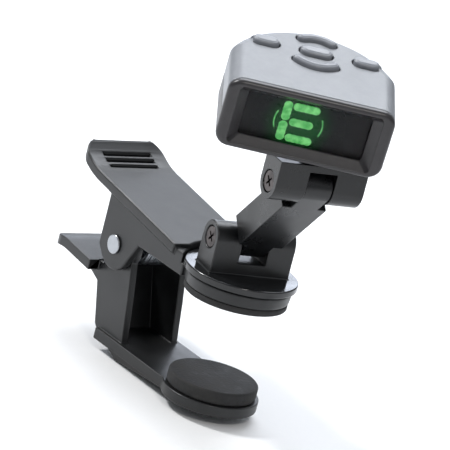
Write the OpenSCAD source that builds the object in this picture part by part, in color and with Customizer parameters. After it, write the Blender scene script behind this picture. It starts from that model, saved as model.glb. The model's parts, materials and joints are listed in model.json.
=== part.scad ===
// Clip-on tuner: a spring clip, a turning turret, a two-hinge arm and a small display head.
// Frame: the origin is on the upper jaw pad's gripping face, on the turret's axis.
// +X runs from the squeeze handles to the jaw tips, +Z runs up through the turret.

/* [Clip] */
// Width of the squeeze handles
lever_w = 17; // [15:0.5:19]
// Thickness of the handle plates
plate_t = 1.9; // [1.6:0.1:2.4]
// Slope of the upper handle above level
lever_slope = 8; // [4:1:12]
// Straight length of the upper handle plate
lever_straight = 25.3; // [22:0.1:28]
// Radius of the curled handle tips, on the finger side
curl_r = 14.6; // [10:0.2:20]
// Gap held between the jaw pads as stored
jaw_gap = 15; // [12:0.5:18]
// Diameter of the round jaw boss under the turret
boss_d = 19; // [18:0.2:20]
// Thickness of the gripping face of the upper pad
pad_t = 1.2; // [0.8:0.1:1.4]

/* [Turret and arm] */
// Diameter of the turning disc
disc_d = 20.2; // [19.6:0.2:20.6]
// Turn of the turret away from the clip's own axis
turret_yaw = -12; // [-30:1:30]
// Height of the lower hinge above the pad face
hinge_h = 10.5; // [10.2:0.1:12]
// Overall width of the lower hinge
lower_hinge_w = 15.2; // [14.6:0.2:16]
// Overall width of the upper hinge
upper_hinge_w = 16.6; // [16:0.2:17.4]
// Distance between the two hinges
arm_len = 23.2; // [21:0.2:26]
// Lean of the arm, from upright
arm_lean = 45; // [30:1:50]
// Width of the arm's body
arm_w = 8.3; // [7:0.1:9]

/* [Head] */
// Width of the head across the display
head_w = 28.2; // [27.6:0.1:29]
// Height of the head
head_h = 12.7; // [12.5:0.1:13]
// Depth of the head, front to back
head_l = 22.3; // [22.1:0.1:22.6]
// Turn of the head on its swivel
head_yaw = -22; // [-40:1:40]
// Downward lean of the display face
head_pitch = 15; // [10:1:16]
// Wall thickness of the two case halves
wall = 1.1; // [1:0.05:1.2]

/* [Hidden] */
$fn = 64;

eps = 0.01;
big = 60;
pin_clear = 0.06;       // radial running clearance of every pin
side_clear = 0.3;       // gap between neighbouring moving parts

// Clip, side view (x, z)
plate_start = [-9, 6];  // top edge of the upper plate, at the turret end
curl_angle = 33;
tip_r = 3;              // rounded corners of the handle tips
pivot = [-26, -1];
pivot_r = 1.25;
wall_y = 8;             // outer face of the upper lever's cheeks
cheek_t = 1.5;
inner_y = wall_y - cheek_t - side_clear;    // outer face of the lower lever's cheeks
inner_t = 1.4;
boss_top = 3.5;
disc_gap = 0.2;
disc_low = boss_top + disc_gap;
disc_top = 5;
recess_r = 4;           // recess under the boss for the turret's screw and washer
recess_top = 2.4;
turret_post_r = 2.5;
lower_pad_t = 2.4;
jaw_plate_top = -jaw_gap - lower_pad_t;
jaw_plate_t = 2;
handle_curl_r = 9;
handle_slope = 6;       // slope of the lower handle above level

// Hinges
ear_r = 3;
tongue_r = 2.75;
tongue_w = 5;
ear_gap = tongue_w / 2 + 0.1;
shoulder = 3.5;         // the arm's body starts this far from each hinge axis
screw_r = 1;
head_r = 1.8;           // hinge screw head
head_t = 1;
head_recess = 1.15;
washer_t = 0.08;

// Head: its own frame has the origin at the middle of the front face, +X out of the display
head_fwd = 7.4;
head_off = -4.4;
head_up = 10.9;
form_r = 2.5;           // rounded long edges of the case
back_r = 15.2;          // round back of the case, in plan
back_x = -(head_l - back_r);
bracket_top = 4.4;
flange_x = 1.2;         // thickness of the bezel's front flange
bezel_x = 3;
split_gap = 0.05;
window = [21, 8.4];
funnel = [24, 10.6];
funnel_x = 1.6;
lens = [23.4, 10.1];
button_x = -14.8;
button_proud = 0.75;
button_gap = 0.12;
crescent = [3.6, 5.5];  // inner and outer radius of the crescent buttons
crescent_half = 42;     // half angle of the crescent buttons
board_low = 2.8;
board_t = 0.8;
switch_h = 0.9;
cell_r = 8;
cell_h = 3.2;
cell_x = -13;
cell_low = -1.05;
tray_t = 0.5;
slot_y = 8.8;
slot_z = [-2.1, 2.5];
case_screw_x = -8.6;
case_screw_y = 11.3;

// ---- frames of the moving stages ----

module on_turret() {
    rotate([0, 0, turret_yaw]) children();
}

module at_lower_hinge() {
    on_turret() translate([0, 0, hinge_h]) children();
}

module along_arm() {
    at_lower_hinge() rotate([0, arm_lean, 0]) children();
}

module at_upper_hinge() {
    along_arm() translate([0, 0, arm_len]) rotate([0, -arm_lean, 0]) children();
}

module in_head() {
    at_upper_hinge() rotate([0, 0, head_yaw]) translate([head_fwd, head_off, head_up])
        rotate([0, head_pitch, 0]) children();
}

// ---- shared shapes ----

// extrudes a side view (x, z) between two y planes
module side_slab(y_from, y_to) {
    translate([0, y_to, 0]) rotate([90, 0, 0]) linear_extrude(y_to - y_from) children();
}

// a cylinder along y between two y planes
module y_rod(r, y_from, y_to) {
    translate([0, y_to, 0]) rotate([90, 0, 0]) cylinder(r = r, h = y_to - y_from);
}

module both_sides() {
    children();
    mirror([0, 1, 0]) children();
}

module rounded_rect(w, h, r) {
    square([w, h - 2 * r], center = true);
    square([w - 2 * r, h], center = true);
    for (x = [-1, 1], y = [-1, 1])
        translate([x * (w / 2 - r), y * (h / 2 - r)]) circle(r = r);
}

module stadium(w, h) {
    square([w - h, h], center = true);
    for (x = [-1, 1])
        translate([x * (w - h) / 2, 0]) circle(d = h);
}

// a flat bar that ends in a curl: x runs along the bar, +y is its thickness, the curl turns to -y
module curled_bar(straight, t, r, angle) {
    square([straight + eps, t]);
    translate([straight, -r]) intersection() {
        difference() {
            circle(r = r + t);
            circle(r = r);
        }
        polygon([[0, 0], [0, big], [big * sin(angle), big * cos(angle)]]);
    }
}

// plan view of a handle: straight sides and rounded tip corners, the tip at x = -length
module handle_plan(length, w) {
    translate([-length + tip_r, -w / 2]) square([length - tip_r, w]);
    translate([-length, -w / 2 + tip_r]) square([tip_r + eps, w - 2 * tip_r]);
    for (y = [-1, 1])
        translate([-length + tip_r, y * (w / 2 - tip_r)]) circle(r = tip_r);
}

function unit(v) = v / norm(v);

// sweeps a round wire of radius r along a path that never runs along y
module wire(path, r, sides = 8) {
    last = len(path) - 1;
    tangent = [for (i = [0:last]) unit(path[min(i + 1, last)] - path[max(i - 1, 0)])];
    points = [for (i = [0:last]) let (n = unit(cross(tangent[i], [0, 1, 0])),
        b = cross(tangent[i], n)) for (k = [0:sides - 1]) let (a = k * 360 / sides)
        path[i] + r * (cos(a) * n + sin(a) * b)];
    skin = [for (i = [0:last - 1], k = [0:sides - 1]) let (j = (k + 1) % sides)
        [i * sides + k, i * sides + j, (i + 1) * sides + j, (i + 1) * sides + k]];
    start_cap = [for (k = [sides - 1:-1:0]) k];
    end_cap = [for (k = [0:sides - 1]) last * sides + k];
    polyhedron(points, concat(skin, [start_cap], [end_cap]), convexity = 8);
}

// ---- clip ----

module upper_plate_profile() {
    translate(plate_start) rotate(180 - lever_slope)
        curled_bar(lever_straight, plate_t, curl_r, curl_angle);
}

module upper_cheek_profile() {
    rise = tan(lever_slope);
    mid = plate_start[1] - plate_t / 2;
    back = pivot[0] - 4.8;
    polygon([[-9.5, pad_t], [-19.4, pad_t], [-22, -3.2], [-29.8, -3.7], [back, -2.6],
        [back, mid + (plate_start[0] - back) * rise], [-9.5, mid + 0.5 * rise]]);
    translate(pivot) circle(r = 4.6);
}

module upper_clip_lever() {
    lever_tip = 41.9;
    color("#2b2c2f") difference() {
        union() {
            translate([0, 0, pad_t])
                cylinder(r1 = boss_d / 2 - 0.25, r2 = boss_d / 2, h = boss_top - pad_t);
            // neck between the boss and the plate
            translate([-15, -lever_w / 2 + 0.5, pad_t]) cube([9, lever_w - 1, 4.1]);
            intersection() {
                side_slab(-lever_w / 2, lever_w / 2) upper_plate_profile();
                translate([0, 0, -big / 2]) linear_extrude(big) handle_plan(lever_tip, lever_w);
            }
            both_sides() side_slab(wall_y - cheek_t, wall_y) upper_cheek_profile();
        }
        // room for the turning disc
        translate([0, 0, boss_top]) cylinder(r = disc_d / 2 + side_clear, h = big);
        // seat of the turret's post, screw and washer
        translate([0, 0, -eps]) cylinder(r = recess_r, h = recess_top + eps);
        cylinder(r = turret_post_r + pin_clear, h = big);
        translate([pivot[0], 0, pivot[1]]) y_rod(pivot_r + pin_clear, -big / 2, big / 2);
        // grip grooves across the tip
        for (i = [0:2])
            translate([plate_start[0], 0, plate_start[1]]) rotate([0, lever_slope, 0])
                translate([-lever_straight - 2.6 - 1.5 * i, -5.2, 0.05 + 0.42 * i])
                rotate([0, 10 + 7 * i, 0]) cube([0.6, 10.4, 1.2]);
    }
}

module lower_cheek_profile() {
    translate(pivot) circle(r = 4.3);
    polygon([[-30, -2.5], [-30.2, -6.5], [-36.5, -7.4], [-29.8, -10.5], [-27.6, -17.5],
        [-20.5, -21], [4, -19.2], [4, jaw_plate_top - eps], [-19.6, jaw_plate_top - eps],
        [-20.8, -10], [-22.4, -2.5]]);
}

module lower_handle_profile() {
    translate([-30.4, -6.3 - plate_t]) rotate(180 - handle_slope) mirror([0, 1])
        curled_bar(8.6, plate_t, handle_curl_r, 38);
}

module lower_clip_lever() {
    color("#26272a") difference() {
        union() {
            both_sides() side_slab(inner_y - inner_t, inner_y) lower_cheek_profile();
            // web that ties the cheeks together behind the jaw
            side_slab(-inner_y, inner_y)
                polygon([[-30.2, -6.4], [-31.8, -7.2], [-28.6, -17.2], [-26.4, -19.3],
                    [-26.4, -17.5]]);
            // jaw plate
            translate([0, 0, jaw_plate_top - jaw_plate_t]) linear_extrude(jaw_plate_t) {
                circle(r = 8.6);
                translate([-27, -7]) square([27, 14]);
            }
            // handle
            intersection() {
                side_slab(-lever_w / 2, lever_w / 2) lower_handle_profile();
                translate([0, 0, -big / 2]) linear_extrude(big) handle_plan(43.9, lever_w);
                translate([-31.3 - big, -big / 2, -big / 2]) cube([big, big, big]);
            }
            side_slab(-inner_y, inner_y)
                polygon([[-30.2, -6.3], [-30.2, -8.2], [-33, -7.9], [-33, -6.1]]);
        }
        translate([pivot[0], 0, pivot[1]]) y_rod(pivot_r + pin_clear, -big / 2, big / 2);
    }
}

module clip_pivot_pin() {
    rivet_r = 1.75;
    rivet_t = 0.5;
    color("#c9ccd1") translate([pivot[0], 0, pivot[1]]) {
        y_rod(pivot_r, -wall_y - eps, wall_y + eps);
        both_sides() y_rod(rivet_r, wall_y, wall_y + rivet_t);
    }
}

// torsion spring: a coil round the pivot pin with one leg on each handle
module clip_spring() {
    coil_r = 3.1;
    wire_r = 0.5;
    turns = 5;
    pitch = 1.15;
    per_turn = 14;
    leg_angle = 115;     // where on the coil the upper leg leaves
    low_angle = 215;     // and the lower leg
    sweep = 360 * turns + low_angle - leg_angle;
    count = floor(per_turn * sweep / 360);
    y_start = -pitch * sweep / 720;
    coil = [for (i = [0:count]) let (a = leg_angle + sweep * i / count)
        [pivot[0] + coil_r * cos(a), y_start + pitch * sweep / 360 * i / count,
            pivot[1] + coil_r * sin(a)]];
    upper_leg = [[-37.2, y_start, 7.6], [-32.5, y_start, 5.1]];
    lower_leg = [[-31.5, -y_start, -4.6], [-36.5, -y_start, -5.05]];
    color("#b8bcc2") wire(concat(upper_leg, coil, lower_leg), wire_r);
}

module upper_jaw_pad() {
    color("#1d1d1f") cylinder(r = boss_d / 2 - 0.3, h = pad_t);
}

module lower_jaw_pad() {
    color("#1d1d1f") translate([0, 0, -jaw_gap - lower_pad_t]) cylinder(r = 8, h = lower_pad_t);
}

// ---- turret and arm ----

module hinge_hole() {
    y_rod(screw_r + pin_clear, -big / 2, big / 2);
}

// counterbores for the screw head on the near side and the nut on the far side
module hinge_recesses(w) {
    y_rod(head_r + 0.15, -w / 2 - 1, -w / 2 + head_recess);
    y_rod(head_r + 0.55, w / 2 - head_recess - 0.3, w / 2 + 1);
}

module turret() {
    ear_w = lower_hinge_w / 2 - ear_gap;
    block_h = 7.1;
    color("#2e2f33") on_turret() difference() {
        union() {
            translate([0, 0, disc_low]) cylinder(d = disc_d, h = disc_top - disc_low);
            translate([0, 0, recess_top - 0.05])
                cylinder(r = turret_post_r, h = disc_low - recess_top + 0.1);
            translate([-ear_r, -lower_hinge_w / 2, disc_top - eps])
                cube([2 * ear_r, lower_hinge_w, block_h - disc_top]);
            both_sides() {
                translate([-ear_r, ear_gap, disc_top])
                    cube([2 * ear_r, ear_w, hinge_h - disc_top]);
                translate([0, 0, hinge_h]) y_rod(ear_r, ear_gap, ear_gap + ear_w);
            }
        }
        translate([0, 0, hinge_h]) hinge_hole();
        translate([0, 0, hinge_h]) hinge_recesses(lower_hinge_w);
        cylinder(r = screw_r + pin_clear, h = 6.2);
    }
}

module turret_screw() {
    color("#c2c5ca") on_turret() {
        translate([0, 0, 1.35]) cylinder(r = 2.1, h = 0.65);
        translate([0, 0, 1.99]) cylinder(r = screw_r, h = 4);
    }
}

module turret_washer() {
    color("#a9adb3") on_turret() difference() {
        translate([0, 0, 2]) cylinder(r = 3.6, h = 0.35);
        cylinder(r = screw_r + 0.1, h = big);
    }
}

module arm() {
    color("#232427") along_arm() difference() {
        union() {
            translate([-tongue_r, -arm_w / 2, shoulder])
                cube([2 * tongue_r, arm_w, arm_len - 2 * shoulder]);
            for (z = [0, arm_len])
                translate([0, 0, z]) y_rod(tongue_r, -tongue_w / 2, tongue_w / 2);
            translate([-tongue_r, -tongue_w / 2, 0]) cube([2 * tongue_r, tongue_w, arm_len]);
        }
        hinge_hole();
        translate([0, 0, arm_len]) hinge_hole();
    }
}

module hinge_screw(w) {
    color("#b4b8be") difference() {
        union() {
            y_rod(head_r, -w / 2 + head_recess - head_t, -w / 2 + head_recess);
            y_rod(screw_r, -w / 2 + head_recess - eps, w / 2 - 0.2);
        }
        // cross recess
        for (a = [45, 135])
            rotate([0, a, 0]) translate([-1, -w / 2, -0.18]) cube([2, 0.6, 0.36]);
    }
}

module hinge_nut(w) {
    color("#b4b8be") difference() {
        translate([0, w / 2 - 0.15, 0]) rotate([90, 0, 0])
            cylinder(r = head_r + 0.35, h = 1.25, $fn = 6);
        y_rod(screw_r + 0.02, 0, big);
    }
}

module hinge_washers() {
    color("#d8d8d2") both_sides() difference() {
        y_rod(2.4, tongue_w / 2 + 0.01, tongue_w / 2 + 0.01 + washer_t);
        y_rod(screw_r + 0.1, 0, big);
    }
}

module lower_hinge_screw() {
    at_lower_hinge() hinge_screw(lower_hinge_w);
}

module lower_hinge_nut() {
    at_lower_hinge() hinge_nut(lower_hinge_w);
}

module lower_hinge_washers() {
    at_lower_hinge() hinge_washers();
}

module upper_hinge_screw() {
    at_upper_hinge() hinge_screw(upper_hinge_w);
}

module upper_hinge_nut() {
    at_upper_hinge() hinge_nut(upper_hinge_w);
}

module upper_hinge_washers() {
    at_upper_hinge() hinge_washers();
}

swivel_post_r = 2.2;
swivel_top = 8.45;      // inner face of the swivel boss, above the upper hinge

module head_bracket() {
    ear_w = upper_hinge_w / 2 - ear_gap;
    color("#2a2b2e") at_upper_hinge() difference() {
        union() {
            both_sides() {
                y_rod(ear_r, ear_gap, ear_gap + ear_w);
                translate([-ear_r, ear_gap, 0]) cube([2 * ear_r, ear_w, bracket_top]);
            }
            translate([-ear_r, -upper_hinge_w / 2, tongue_r + 0.35])
                cube([2 * ear_r, upper_hinge_w, bracket_top - tongue_r - 0.35]);
            translate([0, 0, bracket_top - eps])
                cylinder(r = swivel_post_r, h = swivel_top - bracket_top + 0.05);
        }
        hinge_hole();
        hinge_recesses(upper_hinge_w);
        translate([0, 0, bracket_top + 0.6]) cylinder(r = 0.83, h = big);
    }
}

module swivel_screw() {
    color("#c2c5ca") at_upper_hinge() {
        translate([0, 0, swivel_top + 0.4]) cylinder(r = 2, h = 0.9);
        translate([0, 0, bracket_top + 0.8]) cylinder(r = 0.8, h = swivel_top - bracket_top);
    }
}

module swivel_washer() {
    color("#a9adb3") at_upper_hinge() difference() {
        translate([0, 0, swivel_top + 0.05]) cylinder(r = 3.1, h = 0.35);
        cylinder(r = 0.9, h = big);
    }
}

// ---- head ----

// plan view of the case: square front, round back
module head_plan(inset) {
    half = head_w / 2 - inset;
    translate([back_x, -half]) square([-back_x, 2 * half]);
    intersection() {
        translate([back_x, 0]) circle(r = back_r - inset);
        translate([-head_l, -half]) square([head_l + back_x + eps, 2 * half]);
    }
}

// the case's outer form, shrunk all round by inset
module head_form(inset) {
    intersection() {
        translate([-big, 0, 0]) rotate([90, 0, 90]) linear_extrude(big)
            rounded_rect(head_w - 2 * inset, head_h - 2 * inset, form_r - inset);
        translate([0, 0, -big / 2]) linear_extrude(big) head_plan(inset);
    }
}

module battery_slot() {
    translate([-head_l - 5, -slot_y, slot_z[0]])
        cube([15, 2 * slot_y, slot_z[1] - slot_z[0]]);
}

module case_half(z_from, z_to) {
    difference() {
        intersection() {
            head_form(0);
            translate([-big, -big / 2, z_from]) cube([big - flange_x - split_gap, big,
                z_to - z_from]);
        }
        head_form(wall);
        battery_slot();
    }
}

// from the head's frame back to the swivel's own axis
module on_swivel_axis() {
    rotate([0, -head_pitch, 0]) translate([-head_fwd, -head_off, -head_up]) children();
}

module bottom_case() {
    boss_low = bracket_top + 0.15;
    color("#242528") in_head() difference() {
        union() {
            case_half(-head_h / 2, 0);
            // swivel boss: square to the swivel axis, inside and out
            on_swivel_axis() translate([0, 0, boss_low]) cylinder(r = 3.1, h = swivel_top - boss_low);
            both_sides() translate([case_screw_x, case_screw_y, -head_h / 2 + wall - eps])
                cylinder(r = 1.6, h = head_h / 2 - wall - 0.05);
        }
        on_swivel_axis() cylinder(r = swivel_post_r + pin_clear, h = big / 2);
        both_sides() translate([case_screw_x, case_screw_y, -head_h / 2 - 1]) {
            cylinder(r = 0.85, h = big);
            cylinder(r = 1.5, h = 2);
        }
    }
}

module button_outline(kind, grow) {
    if (kind == "centre") translate([button_x, 0]) rotate(90) stadium(5.6 + 2 * grow, 2.9 + 2 * grow);
    if (kind == "left") translate([button_x, -8.6]) rotate(90) stadium(4.6 + 2 * grow, 2.6 + 2 * grow);
    if (kind == "right") translate([button_x, 8.6]) rotate(90) stadium(4.6 + 2 * grow, 2.6 + 2 * grow);
    if (kind == "front") crescent_outline(0, crescent_half, grow);
    if (kind == "rear") crescent_outline(180, crescent_half - 9, grow);
}

// a bent bar with round ends, centred on the middle button
module crescent_outline(facing, half, grow) {
    mid = (crescent[0] + crescent[1]) / 2;
    reach = (crescent[1] - crescent[0]) / 2 + grow;
    translate([button_x, 0]) rotate(facing) {
        intersection() {
            difference() {
                circle(r = mid + reach);
                circle(r = mid - reach);
            }
            polygon([[0, 0], [big * cos(half), -big * sin(half)], [big * cos(half), big * sin(half)]]);
        }
        for (a = [-half, half])
            rotate(a) translate([mid, 0]) circle(r = reach - 0.03);
    }
}

BUTTONS = ["centre", "front", "rear", "left", "right"];

module top_case() {
    color("#9b9ea3") in_head() difference() {
        union() {
            case_half(split_gap, head_h / 2);
            both_sides() translate([case_screw_x, case_screw_y, split_gap])
                cylinder(r = 1.6, h = head_h / 2 - wall);
        }
        for (kind = BUTTONS)
            translate([0, 0, head_h / 2 - wall - 1]) linear_extrude(wall + 3)
                button_outline(kind, button_gap);
        both_sides() translate([case_screw_x, case_screw_y, -1]) cylinder(r = 0.78, h = 4.6);
    }
}

module button(kind) {
    top = head_h / 2 + button_proud;
    low = board_low + board_t + switch_h + 0.35;
    color("#8d9096") in_head() {
        translate([0, 0, low]) linear_extrude(top - low) button_outline(kind, 0);
        translate([0, 0, low]) linear_extrude(0.3) button_outline(kind, 0.35);
    }
}

module centre_button() {
    button("centre");
}

module front_button() {
    button("front");
}

module rear_button() {
    button("rear");
}

module left_button() {
    button("left");
}

module right_button() {
    button("right");
}

module face_plate(size, x_from, x_to) {
    translate([(x_from + x_to) / 2, 0, 0]) cube([x_to - x_from, size[0], size[1]], center = true);
}

module front_bezel() {
    color("#3a3a3d") in_head() difference() {
        union() {
            intersection() {
                head_form(0);
                translate([-flange_x, -big / 2, -big / 2]) cube([flange_x, big, big]);
            }
            intersection() {
                head_form(wall + 0.05);
                translate([-bezel_x, -big / 2, -big / 2]) cube([bezel_x - eps, big, big]);
            }
        }
        hull() {
            face_plate(funnel, -eps, 1);
            face_plate(window, -funnel_x - 0.2, -funnel_x);
        }
        face_plate(lens, -bezel_x - 1, -funnel_x - 0.1);
    }
}

module display_lens() {
    color("#101214", 0.5) in_head()
        face_plate([lens[0] - 0.1, lens[1] - 0.1], -funnel_x - 0.9, -funnel_x - 0.12);
}

// front glass, and the thicker part behind it that stays above the swivel
module display_panel() {
    size = [lens[0] - 0.4, lens[1] - 0.4];
    low = -2.6;
    color("#0c0d0f") in_head() {
        face_plate(size, -bezel_x - 0.05, -bezel_x + 0.2);
        translate([-4.2, -size[0] / 2, low]) cube([4.2 - bezel_x, size[0], size[1] / 2 - low]);
    }
}

// one lit bar of the note letter, between two points on the display face
module bar(from, to, w = 1.5) {
    length = norm(to - from);
    angle = atan2(to[1] - from[1], to[0] - from[0]);
    translate([(from[0] + to[0]) / 2, (from[1] + to[1]) / 2]) rotate(angle) stadium(length, w);
}

module lit_segments() {
    half_w = 2.35;
    half_h = 3;
    tip = half_h + 0.75;
    color("#5fd06a") in_head() translate([-bezel_x + 0.22, -1.1, -0.5]) rotate([90, 0, 90])
        linear_extrude(0.12) {
            bar([-half_w, -tip], [-half_w, -0.08]);
            bar([-half_w, 0.08], [-half_w, tip]);
            for (z = [-half_h, 0, half_h])
                bar([-half_w + 0.85, z], [half_w + (z == 0 ? 0.15 : 0.65), z]);
            // thin arcs on each side of the letter
            for (side = [0, 180])
                rotate(side) intersection() {
                    difference() {
                        circle(r = 4.15);
                        circle(r = 3.9);
                    }
                    translate([3, -1.7]) square([2, 3.4]);
                }
        }
}

module circuit_board() {
    color("#1f5a3a") in_head() difference() {
        intersection() {
            translate([0, 0, board_low]) linear_extrude(board_t) head_plan(wall + 0.3);
            translate([-big - 5, -big / 2, -big / 2]) cube([big, big, big]);
        }
        both_sides() translate([case_screw_x, case_screw_y, 0]) cylinder(r = 2, h = big);
    }
}

module tact_switches() {
    places = [[0, 0], [4.55, 0], [-4.55, 0], [0, -8.6], [0, 8.6]];
    color("#c7c9cc") in_head() for (p = places)
        translate([button_x + p[0], p[1], board_low + board_t]) {
            translate([-1.3, -1.3, 0]) cube([2.6, 2.6, switch_h - 0.25]);
            cylinder(r = 0.8, h = switch_h);
        }
}

module main_chip() {
    color("#17181a") in_head()
        translate([-8.6, -2.5, board_low + board_t]) cube([2.6, 5, 0.8]);
}

module piezo_sensor() {
    color("#c8a34a") in_head() translate([-14.5, -3.2, -head_h / 2 + wall]) {
        cylinder(r = 5, h = 0.25);
        translate([0, 0, 0.25]) cylinder(r = 3.6, h = 0.2);
    }
}

module coin_cell() {
    color("#c4c7cb") in_head() translate([cell_x, 0, cell_low]) {
        cylinder(r = cell_r, h = cell_h - 0.4);
        cylinder(r = cell_r - 1.1, h = cell_h);
    }
}

module battery_contacts() {
    strip = 0.15;
    color("#cfd2d6") in_head() {
        // spring blade on the cell's top
        translate([cell_x - 3, -1.5, cell_low + cell_h + 0.08]) cube([6, 3, strip]);
        translate([cell_x + 3 - strip, -1.5, cell_low + cell_h + 0.08])
            cube([strip, 3, board_low - cell_low - cell_h - 0.08]);
        // blade beside the cell's rim
        translate([cell_x - 1.5, -cell_r - 0.1 - strip, 0]) cube([3, strip, board_low]);
    }
}

module battery_drawer() {
    back_clear = 0.2;
    color("#242528") in_head() {
        // curved cover that closes the slot
        intersection() {
            difference() {
                linear_extrude(big, center = true) head_plan(0);
                linear_extrude(big + 1, center = true) head_plan(wall);
            }
            translate([-head_l - 1, -slot_y + back_clear, slot_z[0] + back_clear])
                cube([10, 2 * (slot_y - back_clear), slot_z[1] - slot_z[0] - 2 * back_clear]);
        }
        // tray under the cell
        translate([0, 0, cell_low - tray_t - 0.02]) linear_extrude(tray_t) {
            translate([cell_x, 0]) circle(r = 7);
            intersection() {
                head_plan(wall - 0.3);
                translate([-head_l, -7]) square([head_l + cell_x, 14]);
            }
        }
    }
}

module case_screws() {
    color("#8f9297") in_head() both_sides()
        translate([case_screw_x, case_screw_y, -head_h / 2]) {
            translate([0, 0, 0.1]) cylinder(r = 1.35, h = 0.85);
            translate([0, 0, 0.9]) cylinder(r = 0.75, h = 8);
        }
}

upper_clip_lever();
lower_clip_lever();
clip_pivot_pin();
clip_spring();
upper_jaw_pad();
lower_jaw_pad();
turret();
turret_screw();
turret_washer();
arm();
lower_hinge_screw();
lower_hinge_nut();
lower_hinge_washers();
upper_hinge_screw();
upper_hinge_nut();
upper_hinge_washers();
head_bracket();
swivel_screw();
swivel_washer();
bottom_case();
top_case();
front_bezel();
display_lens();
display_panel();
lit_segments();
circuit_board();
tact_switches();
main_chip();
piezo_sensor();
coin_cell();
battery_contacts();
battery_drawer();
centre_button();
front_button();
rear_button();
left_button();
right_button();
case_screws();
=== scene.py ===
"""Looks of the clip-on tuner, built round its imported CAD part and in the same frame."""

import json
import math

import bmesh
import bpy
from mathutils import Matrix, Vector
from mathutils.geometry import delaunay_2d_cdt


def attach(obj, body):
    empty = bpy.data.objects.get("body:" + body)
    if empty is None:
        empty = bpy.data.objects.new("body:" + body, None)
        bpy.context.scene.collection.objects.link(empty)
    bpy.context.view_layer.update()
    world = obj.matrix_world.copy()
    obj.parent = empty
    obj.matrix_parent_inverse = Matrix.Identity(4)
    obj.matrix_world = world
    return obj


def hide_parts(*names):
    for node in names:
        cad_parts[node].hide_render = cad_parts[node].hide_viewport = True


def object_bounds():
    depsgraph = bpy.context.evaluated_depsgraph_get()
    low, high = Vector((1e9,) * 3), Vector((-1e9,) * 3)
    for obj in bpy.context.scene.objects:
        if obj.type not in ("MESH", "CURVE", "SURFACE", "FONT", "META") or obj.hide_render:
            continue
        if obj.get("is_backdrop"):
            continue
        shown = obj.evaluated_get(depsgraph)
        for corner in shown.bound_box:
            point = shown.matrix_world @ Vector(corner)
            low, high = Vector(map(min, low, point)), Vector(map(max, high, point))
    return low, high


MM = 0.001
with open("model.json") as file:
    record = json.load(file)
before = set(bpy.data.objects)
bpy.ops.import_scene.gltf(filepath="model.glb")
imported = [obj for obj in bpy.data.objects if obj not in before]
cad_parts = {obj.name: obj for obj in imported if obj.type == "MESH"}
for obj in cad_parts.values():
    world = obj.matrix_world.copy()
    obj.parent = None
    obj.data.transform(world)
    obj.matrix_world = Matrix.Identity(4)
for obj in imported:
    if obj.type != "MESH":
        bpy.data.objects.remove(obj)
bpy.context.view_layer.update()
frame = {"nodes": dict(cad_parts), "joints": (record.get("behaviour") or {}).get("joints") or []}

# ---------------------------------------------------------------- dimensions, mm

EDGE_R = 2.5            # rounded long edges of the case
BACK_R = 15.2           # round back of the case, in plan
WALL = 1.1
SEAM_R = 0.12           # softened edge along every parting line
FRONT_R = 0.3           # softened edge of the cover above the bezel
SLOT_HALF = 8.8         # battery drawer slot
BUTTON_X = -14.8
BUTTON_GAP = 0.12
CRESCENT = (3.6, 5.5)
WINDOW = (21, 8.4)
FUNNEL = (24, 10.6)
FUNNEL_DEPTH = 1.6
LENS_POCKET = (23.4, 10.1)
LETTER = (-1.1, -0.5)   # middle of the lit letter on the display
DISPLAY_DEPTH = 3       # from the bezel's face to the display
LETTER_HALF = (2.35, 3.0)
LETTER_TIP = 3.75       # the two side bars reach past the top and bottom ones
BAR_R = 0.74
BAR_GAP = 0.08          # from the middle to each side bar
ARC_R = (4.13, 3.93)    # thin tuning arcs beside the letter
ARC_HALF = 0.4          # radians
COIL_R = 3.1
WIRE_R = 0.5
COIL_TURNS = 5
COIL_PITCH = 1.15
SPRING_STEPS = 36       # wire points in one turn
UPPER_LEG = ((-37.1, 7.5), (-34.8, 6.3), (-32.5, 5.05))
LOWER_LEG = ((-31.5, -4.6), (-34, -4.85), (-36.4, -5.05))
SEAM_STEPS = 3
ROUND_STEPS = 10
BUTTON_MOAT = 0.08      # cover stands this much further back from each key than the CAD's gap
CAP_INSET = 0.06
CAP_FOOT = 0.33


# ---------------------------------------------------------------- places in the frame

def joint(name):
    return next(j for j in frame["joints"] if j["name"] == name)


def span(node, axis):
    """Lowest and highest position of a CAD node along an axis, in mm."""
    reach = [axis.dot(v.co) / MM for v in frame["nodes"][node].data.vertices]
    return min(reach), max(reach)


def head_frame():
    """The head's own frame: origin in the middle of the display face, X out of it, Z out of the top."""
    x = -Vector(joint("drawer_slide")["axis"]).normalized()
    z = -Vector(joint("centre_press")["axis"]).normalized()
    y = z.cross(x).normalized()
    z = x.cross(y)
    across, up = span("front_bezel", y), span("front_bezel", z)
    origin = x * span("front_bezel", x)[1] + y * sum(across) / 2 + z * sum(up) / 2
    turn = Matrix((x, y, z)).transposed().to_4x4()
    return Matrix.Translation(origin * MM) @ turn @ Matrix.Scale(MM, 4)


HEAD = head_frame()
PART = Matrix.Scale(MM, 4)
HEAD_X, HEAD_Y, HEAD_Z = (HEAD.col[i].to_3d().normalized() for i in range(3))
HALF_W = (span("front_bezel", HEAD_Y)[1] - span("front_bezel", HEAD_Y)[0]) / 2
HALF_H = (span("front_bezel", HEAD_Z)[1] - span("front_bezel", HEAD_Z)[0]) / 2
FACE_X = span("front_bezel", HEAD_X)[1]
CASE_FRONT = span("top_case", HEAD_X)[1] - FACE_X
CASE_BACK = span("top_case", HEAD_X)[0] - FACE_X
BACK_X = CASE_BACK + BACK_R
ORIGIN_Z = sum(span("front_bezel", HEAD_Z)) / 2


# ---------------------------------------------------------------- mesh helpers

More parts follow.
